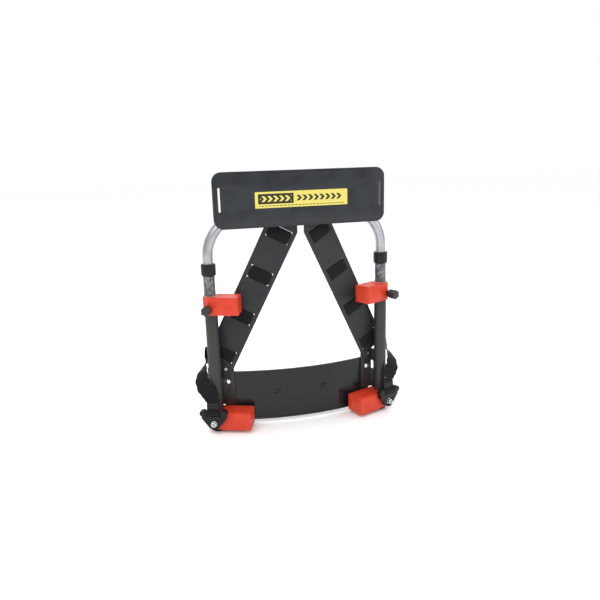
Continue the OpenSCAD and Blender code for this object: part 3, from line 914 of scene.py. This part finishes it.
@dataclass
class HipBelt:
    """Curved hip plate with its pad, screw plates and the saddles that hold it to the tubes."""

    layout: Layout
    edge: float = 0.9 * MM
    pad_shrink: float = 1.5 * MM
    pad_voxel: float = 5 * MM
    pad_cap: float = 6 * MM
    pad_gap: float = 0.3 * MM

    def keep_behind_plate(self, pad: bpy.types.Object) -> None:
        """Presses the pad flat against the back of the plate wherever it has swelled past it."""
        bend_y = self.layout.plane_y + self.layout.plate_y + self.layout.plate_bend
        reach = self.layout.plate_bend - self.layout.plate_thickness - self.pad_gap
        for vertex in pad.data.vertices:
            x, y = vertex.co.x, vertex.co.y - bend_y
            distance = math.hypot(x, y)
            if distance > reach:
                vertex.co.x = x * reach / distance
                vertex.co.y = bend_y + y * reach / distance

    def pad(self) -> None:
        """Swells the pad as its foam does, behind the plate."""
        pad = clean_copy("hip_pad", "hip_pad_foam")
        shrink(pad, self.pad_shrink)
        puffed(pad, self.pad_voxel, self.pad_cap)
        self.keep_behind_plate(pad)
        dress(pad, PAD_MESH)
        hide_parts("hip_pad")
        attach(pad, "frame")

    def build(self) -> None:
        """Builds the plate, pad, saddles and fasteners."""
        rounded_copy("hip_plate", "frame", self.edge, HIP_SHEET)
        rounded_copy("hip_fasteners", "frame", 0.4 * MM, BLACK_FASTENER, steps=2)
        self.pad()
        for side in Side:
            rounded_copy(f"saddle_{side.value}", "frame", 0.6 * MM, BLACK_POWDER, steps=2)
        dress(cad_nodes["saddle_bolts"], CHROME)
        dress(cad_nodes["saddle_nuts"], ZINC_STEEL)
        dress(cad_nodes["strap_rivets"], ZINC_STEEL)
        log.info("hip belt: plate, pad, two saddles")


@dataclass
class ShoulderStraps:
    """Padded straps behind the strap panels, with a webbing sewn down each."""

    panels: StrapPanels
    start: float = 14 * MM
    length: float = 290 * MM
    bulge: float = 16 * MM
    stand_off: float = 6 * MM
    pad_thickness: float = 11 * MM
    web_width: float = 25 * MM
    web_thickness: float = 1.5 * MM
    web_lift: float = 1.4 * MM
    shrink_by: float = 1.2 * MM
    voxel: float = 4.5 * MM
    cap: float = 5 * MM
    rows: int = 40

    def rise(self, share: float) -> float:
        """How far the strap's wearer side stands behind the panel, at a share of its length."""
        return self.stand_off + self.bulge * math.sin(math.pi * share) + self.pad_thickness

    def webbing(self, side: Side) -> bpy.types.Object:
        """Lays webbing down the middle of the pad's wearer side."""
        points = []
        for i in range(self.rows + 1):
            share = i / self.rows
            along = self.start + share * self.length
            points.append(self.panels.point(side, along, 0.0, self.rise(share) + self.web_lift))
        across = self.panels.axes(side)[0]
        band = Band(
            f"shoulder_webbing_{side.value}", points, [across] * len(points), self.web_width,
            self.web_thickness,
        )
        return band.build()

    def build(self) -> None:
        """Builds both straps."""
        for side in Side:
            name = f"shoulder_strap_{side.value}"
            pad = clean_copy(name, f"shoulder_pad_{side.value}")
            shrink(pad, self.shrink_by)
            puffed(pad, self.voxel, self.cap)
            dress(pad, PAD_MESH)
            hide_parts(name)
            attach(pad, "frame")
            webbing = dress(self.webbing(side), BLACK_WEBBING)
            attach(webbing, "frame")
        log.info("shoulder straps: two pads with webbing")


@dataclass
class StrapTails:
    """Webbing that passes round each tube, down to the loop on the strap bracket."""

    layout: Layout
    width: float = 36 * MM
    thickness: float = 1.8 * MM
    wrinkle: float = 0.8 * MM
    twist_deg: float = 52.0
    steps: int = 9
    # Distance from the tube's axis, angle about it in degrees, and height
    route: tuple[tuple[float, float, float], ...] = (
        (25 * MM, 90, 186 * MM),
        (25 * MM, 64, 166 * MM),
        (28.5 * MM, 38, 148 * MM),
        (30.5 * MM, 8, 130 * MM),
        (30 * MM, -25, 112 * MM),
        (28 * MM, -52, 98 * MM),
        (27.5 * MM, -68, 84 * MM),
    )

    def place(self, side: Side, distance: float, angle_deg: float, height: float) -> Vector:
        """A point by its distance and angle about the tube's axis."""
        angle = math.radians(angle_deg)
        x = self.layout.half_gap + distance * math.cos(angle)
        return Vector((side.sign * x, self.layout.plane_y + distance * math.sin(angle), height))

    def band(self, side: Side) -> bpy.types.Object:
        """Sweeps the webbing along its route, a little wrinkled."""
        axis = Vector((side.sign * self.layout.half_gap, self.layout.plane_y, 0))
        path = smooth_path([self.place(side, *stop) for stop in self.route], self.steps)
        line, widths = [], []
        for i, point in enumerate(path):
            run = (path[min(i + 1, len(path) - 1)] - path[max(i - 1, 0)]).normalized()
            radial = point - axis
            radial.z = 0
            radial.normalize()
            line.append(point + radial * self.wrinkle * math.sin(i * 0.9))
            turn = math.radians(self.twist_deg) * math.sin(math.pi * i / (len(path) - 1))
            widths.append(side.sign * math.cos(turn) * radial.cross(run) + math.sin(turn) * radial)
        return Band(f"webbing_tail_{side.value}", line, widths, self.width, self.thickness).build()

    def build(self) -> None:
        """Builds both tails, which twist with the lower blocks."""
        for side in Side:
            tail = dress(self.band(side), BLACK_WEBBING)
            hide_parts(f"strap_tail_{side.value}")
            top, foot = (self.place(side, *self.route[i]) for i in (1, -1))
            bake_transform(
                tail, "frame", f"lower_block_{side.value}",
                start=(top.x, top.y, top.z), end=(top.x, top.y, foot.z + 8 * MM),
            )
        log.info("strap tails: one on each tube")


@dataclass
class LoadBlocks:
    """Red clamp blocks on both tubes, with their liners, inserts, shoes and thumb screws."""

    edge: float = 0.8 * MM
    knob_edge: float = 0.5 * MM

    def build(self) -> None:
        """Builds the eight block halves and what is in them."""
        for side in Side:
            for level in Level:
                for half in ("front", "back"):
                    node = f"block_{half}_{level.value}_{side.value}"
                    body = f"{level.value}_block_{side.value}"
                    # The edge finish is a painted highlight on the blocks' rounded corners
                    rounded_copy(node, body, self.edge, RED_NYLON, RED_NYLON_EDGE_HIGHLIGHT, steps=3)
            dress(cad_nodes[f"liner_upper_{side.value}"], NATURAL_NYLON)
            dress(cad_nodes[f"insert_upper_{side.value}"], BRASS)
            dress(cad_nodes[f"shoe_upper_{side.value}"], NATURAL_NYLON)
            knob = f"knob_upper_{side.value}"
            rounded_copy(knob, f"knob_{side.value}", self.knob_edge, KNOB_NYLON, steps=2)
        log.info("load blocks: four, with two thumb screws")


@dataclass
class StrapBrackets:
    """Cast brackets on the lower blocks, each with a webbing loop sewn round its bar."""

    layout: Layout
    swivel_deg: float = 22.0
    pivot_z: float = 26.5 * MM
    bracket_offset: float = 24.3 * MM
    bar_depth: float = 7.2 * MM
    bar_height: float = 26 * MM
    bar_radius: float = 4 * MM
    web_width: float = 30.4 * MM
    web_thickness: float = 1.9 * MM
    tail_length: float = 33 * MM
    lean_deg: float = 8.0
    wrap_from_deg: float = 48.0
    wrap_deg: float = 264.0
    stitch: float = 2.6 * MM
    tack_rows: tuple[float, ...] = (13 * MM, 17 * MM, 21 * MM)

    def point(self, side: Side, across: float, up: float, out: float) -> Vector:
        """A point by its place on the bracket: across it, up from its bolt, out from the block."""
        turn = math.radians(self.swivel_deg)
        local_y = -(self.bracket_offset + out)
        x = across * math.cos(turn) + local_y * math.sin(turn)
        y = -across * math.sin(turn) + local_y * math.cos(turn)
        return Vector((
            side.sign * (self.layout.half_gap - x), self.layout.plane_y + y, self.pivot_z + up,
        ))

    def loop_line(self) -> list[tuple[float, float]]:
        """The webbing's middle line round the bar, as height and depth on the bracket."""
        lean = math.radians(self.lean_deg)
        ring = self.bar_radius + 0.5 * MM + self.web_thickness / 2
        gap = self.web_thickness / 2 + 0.15 * MM
        line = []
        for i in range(10, 0, -1):
            share = i / 10
            line.append((share * self.tail_length, gap))
        for i in range(17):
            angle = math.radians(self.wrap_from_deg + i * self.wrap_deg / 16)
            line.append((ring * math.cos(angle), ring * math.sin(angle)))
        for i in range(1, 11):
            line.append((i / 10 * self.tail_length, -gap))
        return [
            (
                self.bar_height + a * math.cos(lean) + b * math.sin(lean),
                self.bar_depth - a * math.sin(lean) + b * math.cos(lean),
            )
            for a, b in line
        ]

    def webbing(self, side: Side) -> bpy.types.Object:
        """Makes the loop round the bar."""
        points = [self.point(side, 0.0, up, out) for up, out in self.loop_line()]
        across = self.point(side, 1.0, 0.0, 0.0) - self.point(side, 0.0, 0.0, 0.0)
        band = Band(
            f"webbing_loop_{side.value}", points, [across] * len(points), self.web_width,
            self.web_thickness,
        )
        return band.build()

    def bar_tack(self, side: Side) -> bpy.types.Object:
        """Sews three rows of stitches across the loop's two layers."""
        lean = math.radians(self.lean_deg)
        line, out = [], []
        away = (self.point(side, 0, 0, 1.0) - self.point(side, 0, 0, 0.0)).normalized()
        for along in self.tack_rows:
            up = self.bar_height + along * math.cos(lean) + self.web_thickness * math.sin(lean)
            depth = self.bar_depth - along * math.sin(lean) + self.web_thickness + 0.5 * MM
            count = int(self.web_width / self.stitch) - 1
            for i in range(count):
                middle = (i - (count - 1) / 2) * self.stitch
                line.append(self.point(side, middle - self.stitch * 0.36, up, depth))
                line.append(self.point(side, middle + self.stitch * 0.36, up, depth))
                out.append(away)
        return stitch_row(f"bar_tack_{side.value}", line, out, 0.42 * MM)

    def build(self) -> None:
        """Builds both brackets and their webbing."""
        for side in Side:
            body = f"strap_bracket_{side.value}"
            rounded_copy(f"bracket_{side.value}", body, 0.9 * MM, CAST_BLACK)
            rounded_copy(f"bracket_nut_{side.value}", f"lower_block_{side.value}", 0.5 * MM, CHROME)
            dress(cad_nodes[f"bracket_bolt_{side.value}"], ZINC_STEEL)
            loop = dress(self.webbing(side), BLACK_WEBBING)
            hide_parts(f"web_loop_{side.value}")
            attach(loop, body)
            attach(dress(self.bar_tack(side), THREAD), body)
        log.info("strap brackets: two, with webbing loops")


# ---- stage ------------------------------------------------------------------------------


@dataclass
class Stage:
    """Camera, studio lights, floor and surroundings."""

    layout: Layout
    camera_place: tuple[float, float, float] = (-318.1 * MM, -1296.3 * MM, 623.2 * MM)
    yaw_deg: float = 13.95
    pitch_deg: float = 13.98
    roll_deg: float = -1.61
    lens_mm: float = 35.99
    aim_z: float = 0.3
    floor_half: float = 12.0
    side_glow: float = 0.48
    top_glow: float = 1.32
    lights: tuple[tuple[str, tuple[float, float, float], float, float], ...] = field(
        default=(
            ("key_softbox", (-1.1, -1.5, 1.9), 1.6, 26.0),
            ("fill_softbox", (1.7, -1.1, 1.1), 1.4, 11.0),
            ("back_softbox", (0.3, 1.6, 1.7), 1.4, 14.0),
        )
    )

    def camera(self) -> None:
        """Places the camera."""
        yaw, pitch, roll = (math.radians(a) for a in (self.yaw_deg, self.pitch_deg, self.roll_deg))
        forward = Vector((
            math.sin(yaw) * math.cos(pitch), math.cos(yaw) * math.cos(pitch), -math.sin(pitch),
        ))
        level = Vector((math.cos(yaw), -math.sin(yaw), 0))
        up = level.cross(forward)
        right = math.cos(roll) * level + math.sin(roll) * up
        top = -math.sin(roll) * level + math.cos(roll) * up
        data = bpy.data.cameras.new("camera")
        data.lens = self.lens_mm
        data.sensor_width = 36.0
        data.clip_start, data.clip_end = 0.05, 30.0
        camera = bpy.data.objects.new("camera", data)
        bpy.context.scene.collection.objects.link(camera)
        turn = Matrix((right, top, -forward)).transposed().to_4x4()
        place = Vector(self.camera_place) + Vector((0, self.layout.plane_y, 0))
        camera.matrix_world = Matrix.Translation(place) @ turn
        bpy.context.scene.camera = camera

    def softbox(self, name: str, place: Sequence[float], size: float, power: float) -> None:
        """Adds one square lamp that faces the object's middle."""
        data = bpy.data.lights.new(name, "AREA")
        data.size = size
        data.energy = power
        lamp = bpy.data.objects.new(name, data)
        bpy.context.scene.collection.objects.link(lamp)
        lamp.location = place
        towards = Vector((0, 0, self.aim_z)) - Vector(place)
        lamp.rotation_euler = towards.to_track_quat("-Z", "Y").to_euler()

    def floor(self) -> None:
        """Adds a plain pale floor."""
        mesh = bpy.data.meshes.new("floor")
        half = self.floor_half
        corners = [(-half, -half, 0), (half, -half, 0), (half, half, 0), (-half, half, 0)]
        mesh.from_pydata(corners, [], [(0, 1, 2, 3)])
        floor = linked("floor", mesh)
        pale = bpy.data.materials.new("pale_paper")
        pale.use_nodes = True
        shader = pale.node_tree.nodes["Principled BSDF"]
        shader.inputs["Base Color"].default_value = linear("#fbfbfb")
        shader.inputs["Roughness"].default_value = 0.9
        mesh.materials.append(pale)

    def surroundings(self) -> None:
        """Makes a room that looks white and lights more from above than from the sides."""
        world = bpy.data.worlds.new("studio")
        world.use_nodes = True
        tree = world.node_tree
        place = add_node(tree, "ShaderNodeTexCoord").outputs["Generated"]
        height = add_node(tree, "ShaderNodeSeparateXYZ", {}, {0: place}).outputs["Z"]
        glow = add_node(
            tree, "ShaderNodeMapRange", {},
            {"Value": height, "From Min": 0.0, "From Max": 1.0,
             "To Min": self.side_glow, "To Max": self.top_glow},
        ).outputs[0]
        seen = add_node(tree, "ShaderNodeLightPath").outputs["Is Camera Ray"]
        strength = add_node(
            tree, "ShaderNodeMix", {"data_type": "FLOAT"}, {0: seen, 2: glow, 3: 1.0},
        )
        light = tree.nodes["Background"]
        light.inputs["Color"].default_value = (1, 1, 1, 1)
        tree.links.new(strength.outputs[0], light.inputs["Strength"])
        bpy.context.scene.world = world
        bpy.context.scene.view_settings.view_transform = "Standard"

    def build(self) -> None:
        """Builds the whole stage."""
        self.camera()
        self.surroundings()
        self.floor()
        for lamp in self.lights:
            self.softbox(*lamp)
        log.info("stage: camera, %d lamps, floor", len(self.lights))


def main() -> None:
    """Builds the stage and every sub-assembly in order."""
    logging.basicConfig(level=logging.INFO, format="%(message)s")
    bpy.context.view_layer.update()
    layout = Layout()
    panels = StrapPanels(layout)
    Stage(layout).build()
    builders: list[Callable[[], None]] = [
        TubeSet().build,
        HeadPanel().build,
        panels.build,
        HipBelt(layout).build,
        ShoulderStraps(panels).build,
        StrapTails(layout).build,
        LoadBlocks().build,
        StrapBrackets(layout).build,
    ]
    for build in builders:
        build()


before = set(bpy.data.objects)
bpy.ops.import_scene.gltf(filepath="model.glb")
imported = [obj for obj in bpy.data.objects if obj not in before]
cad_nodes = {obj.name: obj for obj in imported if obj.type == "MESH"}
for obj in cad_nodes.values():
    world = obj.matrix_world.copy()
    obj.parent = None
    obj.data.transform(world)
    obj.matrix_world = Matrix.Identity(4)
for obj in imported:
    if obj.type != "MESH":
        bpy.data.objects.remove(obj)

if __name__ == "__main__":
    main()
